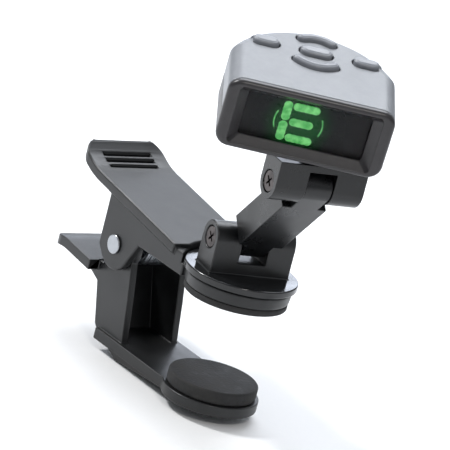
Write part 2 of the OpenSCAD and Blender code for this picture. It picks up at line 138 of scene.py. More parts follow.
def new_object(name, verts, faces, place):
    mesh = bpy.data.meshes.new(name)
    mesh.from_pydata([place @ Vector(v) for v in verts], [], faces)
    build = bmesh.new()
    build.from_mesh(mesh)
    bmesh.ops.remove_doubles(build, verts=build.verts, dist=0.002 * MM)
    bmesh.ops.recalc_face_normals(build, faces=build.faces)
    build.to_mesh(mesh)
    build.free()
    obj = bpy.data.objects.new(name, mesh)
    bpy.context.scene.collection.objects.link(obj)
    return obj


class Skin:
    """Collects points and faces of one mesh; points are given in mm."""

    def __init__(self):
        self.verts, self.faces = [], []

    def row(self, points):
        start = len(self.verts)
        self.verts.extend(points)
        return list(range(start, start + len(points)))

    def strip(self, a, b, closed=False, skip=lambda i: False):
        count = len(a)
        for i in range(count if closed else count - 1):
            j = (i + 1) % count
            if not skip(i):
                self.faces.append((a[i], a[j], b[j], b[i]))

    def loft(self, rings, closed=True, cyclic=False):
        rows = [self.row(r) for r in rings]
        for a, b in zip(rows, rows[1:] + rows[:1] if cyclic else rows[1:]):
            self.strip(a, b, closed)
        return rows

    def plate(self, outline, holes, z):
        """Flat sheet at height z between one outer outline and some hole outlines."""
        points, edges = [], []
        for ring in [outline] + holes:
            start, count = len(points), len(ring)
            points += [Vector((p[0], p[1])) for p in ring]
            edges += [(start + i, start + (i + 1) % count) for i in range(count)]
        flat, _, tris, _, _, _ = delaunay_2d_cdt(points, edges, [], 0, 1e-5)
        start = len(self.verts)
        self.verts.extend((p.x, p.y, z) for p in flat)
        for tri in tris:
            c = sum((flat[i] for i in tri), Vector((0, 0))) / len(tri)
            if inside(c, outline) and not any(inside(c, h) for h in holes):
                self.faces.append(tuple(start + i for i in tri))


def inside(point, ring):
    """True if a 2-D point lies within a closed ring."""
    hit, count = False, len(ring)
    for i in range(count):
        a, b = ring[i], ring[i - 1]
        if (a[1] > point[1]) != (b[1] > point[1]):
            if point[0] < (b[0] - a[0]) * (point[1] - a[1]) / (b[1] - a[1]) + a[0]:
                hit = not hit
    return hit


def quarter(steps):
    """Angles of a rounded edge, from 0 to 90 degrees."""
    return [math.pi / 2 * i / steps for i in range(steps + 1)]


def rounded_rect(w, h, r, x, steps=8):
    """Closed ring in the head's Y-Z plane, at depth x."""
    ring = []
    for k, (sy, sz) in enumerate(((1, 1), (-1, 1), (-1, -1), (1, -1))):
        for i in range(steps + 1):
            a = math.pi / 2 * (k + i / steps)
            ring.append((x, sy * (w / 2 - r) + r * math.cos(a), sz * (h / 2 - r) + r * math.sin(a)))
    return ring


def tube(skin, path, r, sides=12):
    """Round wire along a path that never runs along Y."""
    rings = []
    for i, p in enumerate(path):
        t = (path[min(i + 1, len(path) - 1)] - path[max(i - 1, 0)]).normalized()
        n = t.cross(Vector((0, 1, 0))).normalized()
        b = t.cross(n)
        turn = [2 * math.pi * k / sides for k in range(sides)]
        rings.append([tuple(p + r * (math.cos(a) * n + math.sin(a) * b)) for a in turn])
    rows = skin.loft(rings)
    skin.faces += [tuple(rows[0]), tuple(reversed(rows[-1]))]


WELD_GAP = 0.003        # mm
FLAT_WITHIN = 0.6       # degrees


def soften(obj, width, angle=30, segments=3):
    """Rounds the sharp edges by width in mm and shades the piece smooth.
    Flat facets are joined first, or the rounding would pile up on them."""
    for poly in obj.data.polygons:
        poly.use_smooth = True
    weld = obj.modifiers.new("weld", "WELD")
    weld.merge_threshold = WELD_GAP * MM
    if width:
        merge = obj.modifiers.new("coplanar", "DECIMATE")
        merge.decimate_type = "DISSOLVE"
        merge.angle_limit = math.radians(FLAT_WITHIN)
        bevel = obj.modifiers.new("edges", "BEVEL")
        bevel.width = width * MM
        bevel.segments = segments
        bevel.limit_method = "ANGLE"
        bevel.angle_limit = math.radians(angle)
        bevel.use_clamp_overlap = False
        bevel.harden_normals = True
    flat = obj.modifiers.new("flat_faces", "WEIGHTED_NORMAL")
    flat.keep_sharp = False
    flat.weight = 60


# ---------------------------------------------------------------- the case

def case_outline(inset, arc_steps=72, side_steps=6):
    """Open plan outline of the case: side, round back, side. It starts and ends at the front."""
    half, r = HALF_W - inset, BACK_R - inset
    corner = math.asin(half / r)
    slot = math.asin(SLOT_HALF / r)
    bend_x = BACK_X - r * math.cos(corner)
    front = CASE_FRONT - FRONT_R
    points = [(front + (bend_x - front) * i / side_steps, half) for i in range(side_steps)]
    side_arc = (arc_steps - arc_steps // 2) // 2
    stops = [(corner, slot, side_arc), (slot, -slot, arc_steps // 2), (-slot, -corner, side_arc)]
    for a, b, n in stops:
        for i in range(n):
            t = a + (b - a) * i / n
            points.append((BACK_X - r * math.cos(t), r * math.sin(t)))
    points += [(bend_x + (front - bend_x) * i / side_steps, -half) for i in range(side_steps + 1)]
    return points


def slot_columns(arc_steps=72, side_steps=6):
    side_arc = (arc_steps - arc_steps // 2) // 2
    return side_steps + side_arc, side_steps + side_arc + arc_steps // 2


def case_rows(inset, z_low, z_notch):
    """(inset, height) of each level of a case half, from the seam to the flat."""
    r = EDGE_R - inset
    rows = [(inset + SEAM_R * (1 - math.sin(a)), z_low + SEAM_R * (1 - math.cos(a)))
            for a in quarter(SEAM_STEPS)]
    rows.append((inset, z_notch))
    rows += [(inset + r * (1 - math.cos(a)), HALF_H - EDGE_R + r * math.sin(a))
             for a in quarter(ROUND_STEPS)]
    return rows


def case_skin(z_low, z_notch, holes):
    """Hollow case half with softened edges; holes are functions of how far they are grown."""
    skin = Skin()
    first, last = slot_columns()
    outer_rows = case_rows(0, z_low, z_notch)
    inner_rows = case_rows(WALL, z_low, z_notch)
    notch = SEAM_STEPS + 1

    def grid(rows):
        made = [skin.row([(x, y, z) for x, y in case_outline(inset)]) for inset, z in rows]
        for k, (a, b) in enumerate(zip(made, made[1:])):
            skin.strip(a, b, skip=lambda i: k < notch and first <= i < last)
        return made

    outer, inner = grid(outer_rows), grid(inner_rows)
    skin.strip(outer[0], inner[0], skip=lambda i: first <= i < last)
    skin.strip(outer[notch][first:last + 1], inner[notch][first:last + 1])
    for column in (first, last):
        skin.strip([r[column] for r in outer[:notch + 1]], [r[column] for r in inner[:notch + 1]])

    # front rim: the section of the case, rounded over towards the bezel
    def section(inset, x):
        rows = case_rows(0, z_low, z_notch)
        ring = []
        for side in (1, -1):
            arc = []
            for k, (edge, z) in enumerate(rows):
                a = max(0.0, min(1.0, (k - notch - 1) / ROUND_STEPS)) * math.pi / 2
                arc.append((x, side * (HALF_W - edge - inset * math.cos(a)), z - inset * math.sin(a)))
            ring += arc if side == 1 else arc[::-1]
        return ring

    sections = [section(FRONT_R * (1 - math.cos(a)), CASE_FRONT - FRONT_R * (1 - math.sin(a)))
                for a in quarter(4)]
    rows = skin.loft(sections, closed=False)
    inner_end = [r[0] for r in inner] + [r[-1] for r in inner[::-1]]
    skin.strip(rows[-1], inner_end)
    bottom = [r[0] for r in rows]
    skin.faces.append(tuple(bottom + [inner_end[0]]))
    bottom = [r[-1] for r in rows]
    skin.faces.append(tuple(bottom[::-1] + [inner_end[-1]]))

    # flat outside and inside, joined through every hole
    top, under = HALF_H, HALF_H - WALL
    lip = 0.16
    rim_out = [p[:2] for p in (skin.verts[i] for i in outer[-1])]
    rim_in = [p[:2] for p in (skin.verts[i] for i in inner[-1])]
    skin.plate(rim_out, [h(lip) for h in holes], top)
    skin.plate(rim_in, [h(0) for h in holes], under)
    for hole in holes:
        rings = [[(x, y, top - lip * (1 - math.cos(a))) for x, y in hole(lip * (1 - math.sin(a)))]
                 for a in quarter(4)]
        rings.append([(x, y, under) for x, y in hole(0)])
        skin.loft(rings)
    return skin


def stadium_ring(cx, cy, length, width, grow, steps=16):
    """Closed ring round a rounded slot that lies along Y."""
    r = width / 2 + grow
    reach = (length - width) / 2
    ring = []
    for end in (1, -1):
        for i in range(steps + 1):
            a = math.pi * i / steps
            ring.append((cx + end * r * math.cos(a), cy + end * (reach + r * math.sin(a))))
    return ring


def crescent_ring(facing, half, grow, steps=28):
    """Closed ring round a bent bar with round ends, centred on the middle button."""
    mid = sum(CRESCENT) / 2
    r = (CRESCENT[1] - CRESCENT[0]) / 2 + grow
    ring = []

    def put(radius, angle, cap_r=0.0, cap_a=0.0):
        x = radius * math.cos(angle) + cap_r * math.cos(angle + cap_a)
        y = radius * math.sin(angle) + cap_r * math.sin(angle + cap_a)
        ring.append((BUTTON_X + x * math.cos(facing) - y * math.sin(facing),
                     x * math.sin(facing) + y * math.cos(facing)))

    for i in range(steps + 1):
        put(mid + r, -half + 2 * half * i / steps)
    for i in range(1, 10):
        put(mid, half, r, math.pi * i / 10)
    for i in range(steps + 1):
        put(mid - r, half - 2 * half * i / steps)
    for i in range(1, 10):
        put(mid, -half, r, math.pi + math.pi * i / 10)
    return ring


BUTTONS = {
    "centre": lambda grow: stadium_ring(BUTTON_X, 0, 5.6, 2.9, grow),
    "left": lambda grow: stadium_ring(BUTTON_X, -8.6, 4.6, 2.6, grow),
    "right": lambda grow: stadium_ring(BUTTON_X, 8.6, 4.6, 2.6, grow),
    "front": lambda grow: crescent_ring(0, math.radians(42), grow),
    "rear": lambda grow: crescent_ring(math.pi, math.radians(33), grow),
}


def build_top_cover():
    holes = [lambda grow, ring=ring: ring(BUTTON_GAP + BUTTON_MOAT + grow) for ring in BUTTONS.values()]
    low = span("top_case", HEAD_Z)[0] - ORIGIN_Z
    skin = case_skin(low, 2.5, holes)
    cover = new_object("top_cover", skin.verts, skin.faces, HEAD)
    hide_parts("top_case")
    return cover


def button_cap(kind, ring):
    """Key cap with a rounded rim and a slightly domed top."""
    node = kind + "_button"
    low, top = (v - ORIGIN_Z for v in span(node, HEAD_Z))
    rim, dome = 0.42, 0.1
    rings = [[(x, y, low) for x, y in ring(CAP_FOOT)], [(x, y, low + 0.28) for x, y in ring(CAP_FOOT)],
             [(x, y, low + 0.3) for x, y in ring(-CAP_INSET)]]
    for a in quarter(6):
        inset = CAP_INSET + rim * (1 - math.cos(a))
        rings.append([(x, y, top - dome - rim * (1 - math.sin(a))) for x, y in ring(-inset)])
    for k in range(1, 5):
        inset = CAP_INSET + rim + 0.36 * k / 4
        rings.append([(x, y, top - dome * (1 - k / 4) ** 2) for x, y in ring(-inset)])
    skin = Skin()
    rows = skin.loft(rings)
    skin.faces += [tuple(rows[0]), tuple(reversed(rows[-1]))]
    cap = new_object(kind + "_key_cap", skin.verts, skin.faces, HEAD)
    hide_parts(node)
    return cap


def build_bezel():
    """Display bezel: rounded flange, sloped funnel, window, lens pocket and the spigot behind."""
    w, h = 2 * HALF_W, 2 * HALF_H
    flange, depth, front = 1.2, 3.0, 0.75
    rings = [rounded_rect(w - 2 * i, h - 2 * i, EDGE_R - i, -flange + SEAM_R * (1 - math.cos(a)))
             for a in quarter(3) for i in [SEAM_R * (1 - math.sin(a))]]
    rings += [rounded_rect(w - 2 * i, h - 2 * i, EDGE_R - i, -front + front * math.sin(a))
              for a in quarter(7) for i in [front * (1 - math.cos(a))]]
    lip = 0.22
    rings += [rounded_rect(FUNNEL[0] + 2 * i, FUNNEL[1] + 2 * i, 0.7 + i, -lip * (1 - math.cos(a)))
              for a in quarter(4) for i in [lip * (1 - math.sin(a))]]
    sill = -FUNNEL_DEPTH - 0.1
    inner = WALL + 0.05
    for (wide, high), r, x in (((WINDOW[0] + 0.12, WINDOW[1] + 0.12), 0.5, -FUNNEL_DEPTH + 0.08),
                               (WINDOW, 0.45, -FUNNEL_DEPTH - 0.02), (WINDOW, 0.45, sill),
                               (LENS_POCKET, 0.2, sill), (LENS_POCKET, 0.2, -depth),
                               ((w - 2 * inner, h - 2 * inner), EDGE_R - inner, -depth),
                               ((w - 2 * inner, h - 2 * inner), EDGE_R - inner, -flange)):
        rings.append(rounded_rect(wide, high, r, x))
    skin = Skin()
    skin.loft(rings, cyclic=True)
    bezel = new_object("display_bezel", skin.verts, skin.faces, HEAD)
    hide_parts("front_bezel")
    return bezel


# ---------------------------------------------------------------- the lit display

def letter_bars():
    """Ends of each lit bar of the note letter, on the display face: (y, z) pairs."""
    w, h = LETTER_HALF
    bars = [((-w, -LETTER_TIP), (-w, -BAR_GAP)), ((-w, BAR_GAP), (-w, LETTER_TIP))]
    for z in (-h, 0, h):
        bars.append(((-w + 0.85, z), (w + (0.15 if z == 0 else 0.65), z)))
    cy, cz = LETTER
    return [((a[0] + cy, a[1] + cz), (b[0] + cy, b[1] + cz)) for a, b in bars]


def bead_outline(a, b, r, lobes):
    """Outline of a bar made of touching round lobes, in the display plane."""
    ax, ay = b[0] - a[0], b[1] - a[1]
    length = math.hypot(ax, ay)
    ux, uy = ax / length, ay / length
    reach = length / 2 - r
    ring, steps = [], 96
    centres = [-reach + 2 * reach * i / (lobes - 1) for i in range(lobes)]
    for i in range(steps):
        t = 2 * math.pi * i / steps
        # farthest point of the lobes, seen from the bar's middle
        best = 0.0
        for c in centres:
            d = c * math.cos(t)
            under = r * r - (c * math.sin(t)) ** 2
            if under > 0:
                best = max(best, d + math.sqrt(under))
        u, v = best * math.cos(t), best * math.sin(t)
        ring.append(((a[0] + b[0]) / 2 + u * ux - v * uy, (a[1] + b[1]) / 2 + u * uy + v * ux))
    return ring


def build_letter():
    """Lobed light bars of the note letter with the two thin tuning arcs beside it."""
    back = span("lit_segments", HEAD_X)[0] - FACE_X
    front = span("lit_segments", HEAD_X)[1] - FACE_X
    skin = Skin()

    def slab(ring, shrink):
        cy = sum(p[0] for p in ring) / len(ring)
        cz = sum(p[1] for p in ring) / len(ring)
        inner = [(cy + (y - cy) * shrink, cz + (z - cz) * shrink) for y, z in ring]
        rings = [[(back, y, z) for y, z in ring], [(front - 0.04, y, z) for y, z in ring],
                 [(front, y, z) for y, z in inner]]
        rows = skin.loft(rings)
        skin.faces += [tuple(rows[0]), tuple(reversed(rows[-1]))]

    for a, b in letter_bars():
        slab(bead_outline(a, b, BAR_R, 4 if math.dist(a, b) < 4.2 else 5), 0.95)
    for side in (0, math.pi):
        ring = []
        for r, order in zip(ARC_R, (1, -1)):
            for i in range(17):
                t = order * ARC_HALF * (2 * i / 16 - 1) + side
                ring.append((LETTER[0] + r * math.cos(t), LETTER[1] + r * math.sin(t)))
        slab(ring, 0.985)
    letter = new_object("note_letter", skin.verts, skin.faces, HEAD)
    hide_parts("lit_segments")
    return letter


# ---------------------------------------------------------------- the clip's spring

def build_spring():
    """Torsion spring in two pieces: the coil and upper leg turn with one lever, the lower leg with the
    other."""
    pivot = Vector(joint("clip_hinge")["pos_m"]) / MM
    start, end = math.radians(115), math.radians(215) + 2 * math.pi * COIL_TURNS
    count = SPRING_STEPS * COIL_TURNS
    y0 = -COIL_PITCH * (end - start) / (4 * math.pi)
    coil = []
    for i in range(count + 1):
        a = start + (end - start) * i / count
        y = y0 - 2 * y0 * i / count
        coil.append(pivot + Vector((COIL_R * math.cos(a), y, COIL_R * math.sin(a))))
    upper = [Vector((x, y0, z)) for x, z in UPPER_LEG]
    lower = [coil[-1]] + [Vector((x, -y0, z)) for x, z in LOWER_LEG]
    made = []
    for name, path in (("spring_coil", upper + coil), ("spring_lower_leg", lower)):
        skin = Skin()
        tube(skin, path, WIRE_R - 0.01)
        wire = new_object(name, skin.verts, skin.faces, PART)
        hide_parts("clip_spring")
        made.append(wire)
    return made


# ---------------------------------------------------------------- materials

NOISE, RANGE, MIX = "ShaderNodeTexNoise", "ShaderNodeMapRange", "ShaderNodeMix"
BUMP, MATH, MAPPING = "ShaderNodeBump", "ShaderNodeMath", "ShaderNodeMapping"
PRINCIPLED, OUTPUT = "ShaderNodeBsdfPrincipled", "ShaderNodeOutputMaterial"
MIX_FACTOR, MIX_A, MIX_B, MIX_COLOUR = 0, 6, 7, 2       # the colour sockets of a Mix node


def srgb(code):
    """Linear colour of an sRGB hex code."""
    parts = [int(code[i:i + 2], 16) / 255 for i in (1, 3, 5)]
    return tuple(c / 12.92 if c <= 0.04045 else ((c + 0.055) / 1.055) ** 2.4 for c in parts) + (1.0,)


def per_metre(size):
    """Pattern scale that makes features about size mm across."""
    return 1000 / size


def add(tree, kind, inputs=None, out=0, **settings):
    """Adds one node and returns one of its outputs; an input is a value or the output that feeds it."""
    node = tree.nodes.new(kind)
    for name, value in settings.items():
        setattr(node, name, value)
    for name, value in (inputs or {}).items():
        if isinstance(value, bpy.types.NodeSocket):
            tree.links.new(value, node.inputs[name])
        else:
            node.inputs[name].default_value = value
    return node if out is None else node.outputs[out]


def blank(name):
    """Empty material; returns it, its tree and the object's own coordinates in metres."""
    made = bpy.data.materials.new(name)
    made.use_nodes = True
    tree = made.node_tree
    tree.nodes.clear()
    return made, tree, add(tree, "ShaderNodeTexCoord", out="Object")


def moulded(name, base, worn, rough, grain=0.14, relief=0.006, spread=0.09, flow=7.0):
    """Injection moulded plastic: spark-eroded grain in the relief, and slow drifts in gloss and tone.
    A real mould's grain is a few hundredths of a mm; it is drawn coarser, or it would not show."""
    made, tree, place = blank(name)
    fine = add(tree, NOISE, {"Vector": place, "Scale": per_metre(grain), "Detail": 3.0, "Roughness": 0.6})
    slow = add(tree, NOISE, {"Vector": place, "Scale": per_metre(flow), "Detail": 3.0, "Roughness": 0.55})
    touch = add(tree, NOISE, {"Vector": place, "Scale": per_metre(2.2), "Detail": 4.0, "Roughness": 0.6})
    drift = add(tree, RANGE, {"Value": slow, "From Min": 0.3, "From Max": 0.7,
                              "To Min": rough - spread / 2, "To Max": rough + spread / 2})
    rubbed = add(tree, RANGE, {"Value": touch, "From Min": 0.3, "From Max": 0.7,
                               "To Min": -spread / 3, "To Max": spread / 3})
    gloss = add(tree, MATH, {0: drift, 1: rubbed}, operation="ADD")
    wear = add(tree, RANGE, {"Value": touch, "From Min": 0.35, "From Max": 0.75,
                             "To Min": 0.0, "To Max": 1.0})
    colour = add(tree, MIX, {MIX_FACTOR: wear, MIX_A: srgb(base), MIX_B: srgb(worn)}, MIX_COLOUR,
                 data_type="RGBA")
    swell = add(tree, BUMP, {"Height": slow, "Distance": 0.02 * MM, "Strength": 0.5})
    skin = add(tree, BUMP, {"Height": fine, "Distance": relief * MM, "Strength": 1.0, "Normal": swell})
    shader = add(tree, PRINCIPLED, {"Base Color": colour, "Roughness": gloss, "IOR": 1.5, "Normal": skin})
    add(tree, OUTPUT, {"Surface": shader}, None)
    return made


def polished(name, base, worn, rough, satin, above):
    """Glossy moulded plastic: a clear sheen broken by hairline scratches and faint fingerprints.
    Above a given height in mm the mould was only satin finished."""
    made, tree, place = blank(name)
    along = add(tree, MAPPING, {"Vector": place, "Rotation": (0.3, 0.5, 0.7), "Scale": (1.0, 14.0, 1.0)})
    hair = add(tree, NOISE, {"Vector": along, "Scale": per_metre(1.6), "Detail": 5.0, "Roughness": 0.65})
    smudge = add(tree, NOISE, {"Vector": place, "Scale": per_metre(5.0), "Detail": 4.0, "Roughness": 0.6})
    hazed = add(tree, RANGE, {"Value": smudge, "From Min": 0.3, "From Max": 0.7,
                              "To Min": rough - 0.03, "To Max": rough + 0.07})
    scuffed = add(tree, RANGE, {"Value": hair, "From Min": 0.55, "From Max": 0.75,
                                "To Min": 0.0, "To Max": 0.05})
    gloss = add(tree, MATH, {0: hazed, 1: scuffed}, operation="ADD")
    wear = add(tree, RANGE, {"Value": smudge, "From Min": 0.4, "From Max": 0.7,
                             "To Min": 0.0, "To Max": 1.0})
    colour = add(tree, MIX, {MIX_FACTOR: wear, MIX_A: srgb(base), MIX_B: srgb(worn)}, MIX_COLOUR,
                 data_type="RGBA")
    height = add(tree, "ShaderNodeSeparateXYZ", {"Vector": place}, "Z")
    block = add(tree, RANGE, {"Value": height, "From Min": above * MM, "From Max": (above + 0.1) * MM,
                              "To Min": 0.0, "To Max": satin})
    total = add(tree, MATH, {0: gloss, 1: block}, operation="ADD")
    grain = add(tree, NOISE, {"Vector": place, "Scale": per_metre(0.16), "Detail": 3.0, "Roughness": 0.6})
    lines = add(tree, BUMP, {"Height": hair, "Distance": 0.0015 * MM, "Strength": 0.6})
    skin = add(tree, BUMP, {"Height": grain, "Distance": 0.002 * MM, "Strength": 0.5, "Normal": lines})
    shader = add(tree, PRINCIPLED, {"Base Color": colour, "Roughness": total, "IOR": 1.52, "Normal": skin})
    add(tree, OUTPUT, {"Surface": shader}, None)
    return made


def rubber(name, base, dust):
    """Moulded rubber: matt, pebbled relief with pale dust held in its hollows."""
    made, tree, place = blank(name)
    cells = add(tree, "ShaderNodeTexVoronoi", {"Vector": place, "Scale": per_metre(0.55)}, "Distance")
    fine = add(tree, NOISE, {"Vector": place, "Scale": per_metre(0.18), "Detail": 3.0, "Roughness": 0.6})
    patch = add(tree, NOISE, {"Vector": place, "Scale": per_metre(3.0), "Detail": 3.0, "Roughness": 0.6})
    dusty = add(tree, RANGE, {"Value": patch, "From Min": 0.45, "From Max": 0.75,
                              "To Min": 0.0, "To Max": 0.55})
    colour = add(tree, MIX, {MIX_FACTOR: dusty, MIX_A: srgb(base), MIX_B: srgb(dust)}, MIX_COLOUR,
                 data_type="RGBA")
    matt = add(tree, RANGE, {"Value": patch, "From Min": 0.3, "From Max": 0.7,
                             "To Min": 0.68, "To Max": 0.88})
    pebbles = add(tree, BUMP, {"Height": cells, "Distance": 0.05 * MM, "Strength": 0.7})
    skin = add(tree, BUMP, {"Height": fine, "Distance": 0.012 * MM, "Strength": 1.0, "Normal": pebbles})
    shader = add(tree, PRINCIPLED, {"Base Color": colour, "Roughness": matt, "IOR": 1.5, "Normal": skin})
    add(tree, OUTPUT, {"Surface": shader}, None)
    return made


def metal(name, base, stain, rough, brush=(1.0, 1.0, 1.0), size=0.25, relief=0.0006):
    """Plated or drawn metal: fine tool lines in the relief, uneven polish and a trace of tarnish.
    Real tool lines are a few hundredths of a mm apart; they are drawn coarser, or they would not show."""
    made, tree, place = blank(name)
    lined = add(tree, MAPPING, {"Vector": place, "Scale": brush})
    lines = add(tree, NOISE, {"Vector": lined, "Scale": per_metre(size), "Detail": 4.0, "Roughness": 0.6})
    patch = add(tree, NOISE, {"Vector": place, "Scale": per_metre(1.4), "Detail": 3.0, "Roughness": 0.6})
    tarnish = add(tree, RANGE, {"Value": patch, "From Min": 0.45, "From Max": 0.8,
                                "To Min": 0.0, "To Max": 1.0})
    colour = add(tree, MIX, {MIX_FACTOR: tarnish, MIX_A: srgb(base), MIX_B: srgb(stain)}, MIX_COLOUR,
                 data_type="RGBA")
    polish = add(tree, RANGE, {"Value": patch, "From Min": 0.3, "From Max": 0.7,
                               "To Min": rough - 0.03, "To Max": rough + 0.04})
    skin = add(tree, BUMP, {"Height": lines, "Distance": relief * MM, "Strength": 0.8})
    shader = add(tree, PRINCIPLED, {"Base Color": colour, "Metallic": 1.0, "Roughness": polish,
                                    "Normal": skin})
    add(tree, OUTPUT, {"Surface": shader}, None)
    return made


def clear_lens(name):
    """Cast acrylic window with an anti-glare coat: clear, low in reflection, with a few wiping marks.
    The coat is drawn as an IOR well below that of bare acrylic."""
    made, tree, place = blank(name)
    wiped = add(tree, MAPPING, {"Vector": place, "Rotation": (0.0, 0.4, 0.9), "Scale": (1.0, 9.0, 1.0)})
    marks = add(tree, NOISE, {"Vector": wiped, "Scale": per_metre(2.4), "Detail": 4.0, "Roughness": 0.6})
    smear = add(tree, RANGE, {"Value": marks, "From Min": 0.45, "From Max": 0.8,
                              "To Min": 0.015, "To Max": 0.06})
    skin = add(tree, BUMP, {"Height": marks, "Distance": 0.001 * MM, "Strength": 0.4})
    shader = add(tree, PRINCIPLED, {"Base Color": srgb("#e9edf0"), "Roughness": smear, "IOR": 1.16,
                                    "Transmission Weight": 1.0, "Normal": skin})
    add(tree, OUTPUT, {"Surface": shader}, None)
    return made


def display_glass(name):
    """Unlit display: near-black glass with a soft green spill round the lit letter and faint dark cells."""
    made, tree, place = blank(name)
    centre = HEAD @ Vector((-DISPLAY_DEPTH, LETTER[0], LETTER[1]))
    away = add(tree, "ShaderNodeVectorMath", {0: place, 1: centre}, "Value", operation="DISTANCE")
    glow = add(tree, RANGE, {"Value": away, "From Min": 3.2 * MM, "From Max": 6.6 * MM,
                             "To Min": 1.0, "To Max": 0.0})
    soft = add(tree, MATH, {0: glow, 1: 2.2}, operation="POWER")
    spill = add(tree, MATH, {0: soft, 1: 0.5}, operation="MULTIPLY")
    cells = add(tree, NOISE, {"Vector": place, "Scale": per_metre(1.3), "Detail": 2.0, "Roughness": 0.5})
    # painted light in the base colour: green-black near the letter is painted spill of its light,
    # reddish-black further out is a painted reflection
    painted_reflection_fade = add(tree, RANGE, {"Value": away, "From Min": 5.5 * MM, "From Max": 10 * MM,
                             "To Min": 0.0, "To Max": 1.0})
    dark = add(tree, MIX, {MIX_FACTOR: painted_reflection_fade, MIX_A: srgb("#050b07"), MIX_B: srgb("#120c0d")}, MIX_COLOUR,
               data_type="RGBA")
    gloss = add(tree, RANGE, {"Value": cells, "From Min": 0.3, "From Max": 0.7,
                              "To Min": 0.2, "To Max": 0.3})
    skin = add(tree, BUMP, {"Height": cells, "Distance": 0.002 * MM, "Strength": 0.3})
    shader = add(tree, PRINCIPLED, {"Base Color": dark, "Roughness": gloss, "Specular IOR Level": 0.12,
                                    "Emission Color": srgb("#0d5a22"), "Emission Strength": spill,
                                    "Normal": skin})
    add(tree, OUTPUT, {"Surface": shader}, None)
    return made


def lit_green(name):
    """Lit diffuser: green light a little uneven along each bar, from the lamps behind it."""
    made, tree, place = blank(name)
    lamps = add(tree, NOISE, {"Vector": place, "Scale": per_metre(0.9), "Detail": 1.0, "Roughness": 0.4})
    hot = add(tree, RANGE, {"Value": lamps, "From Min": 0.35, "From Max": 0.65,
                            "To Min": 0.0, "To Max": 1.0})
    tone = add(tree, MIX, {MIX_FACTOR: hot, MIX_A: srgb("#4fbf57"), MIX_B: srgb("#83dd80")}, MIX_COLOUR,
               data_type="RGBA")
    matt = add(tree, RANGE, {"Value": lamps, "From Min": 0.3, "From Max": 0.7,
                             "To Min": 0.4, "To Max": 0.5})
    power = add(tree, RANGE, {"Value": lamps, "From Min": 0.3, "From Max": 0.7,
                              "To Min": 0.7, "To Max": 0.95})
    skin = add(tree, BUMP, {"Height": lamps, "Distance": 0.004 * MM, "Strength": 0.3})
    shader = add(tree, PRINCIPLED, {"Base Color": srgb("#1d4a23"), "Roughness": matt,
                                    "Emission Color": tone, "Emission Strength": power, "Normal": skin})
    add(tree, OUTPUT, {"Surface": shader}, None)
    return made


def laminate(name):
    """Solder-masked circuit board: green gloss over a woven glass relief, with paler copper runs below."""
    made, tree, place = blank(name)
    weave = add(tree, "ShaderNodeTexWave", {"Vector": place, "Scale": per_metre(0.9), "Distortion": 2.0},
                "Fac", wave_type="BANDS")
    runs = add(tree, "ShaderNodeTexBrick", {"Vector": place, "Scale": per_metre(2.5),
                                            "Color1": srgb("#1d5a38"), "Color2": srgb("#174a2e"),
                                            "Mortar": srgb("#3d8a58")}, "Color")
    gloss = add(tree, RANGE, {"Value": weave, "From Min": 0, "From Max": 1, "To Min": 0.25, "To Max": 0.4})
    skin = add(tree, BUMP, {"Height": weave, "Distance": 0.01 * MM, "Strength": 0.5})
    shader = add(tree, PRINCIPLED, {"Base Color": runs, "Roughness": gloss, "Normal": skin})
    add(tree, OUTPUT, {"Surface": shader}, None)
    return made


DRAWN = (1.0, 6.0, 1.0)      # tool lines packed six times closer along Y, so that they run across it

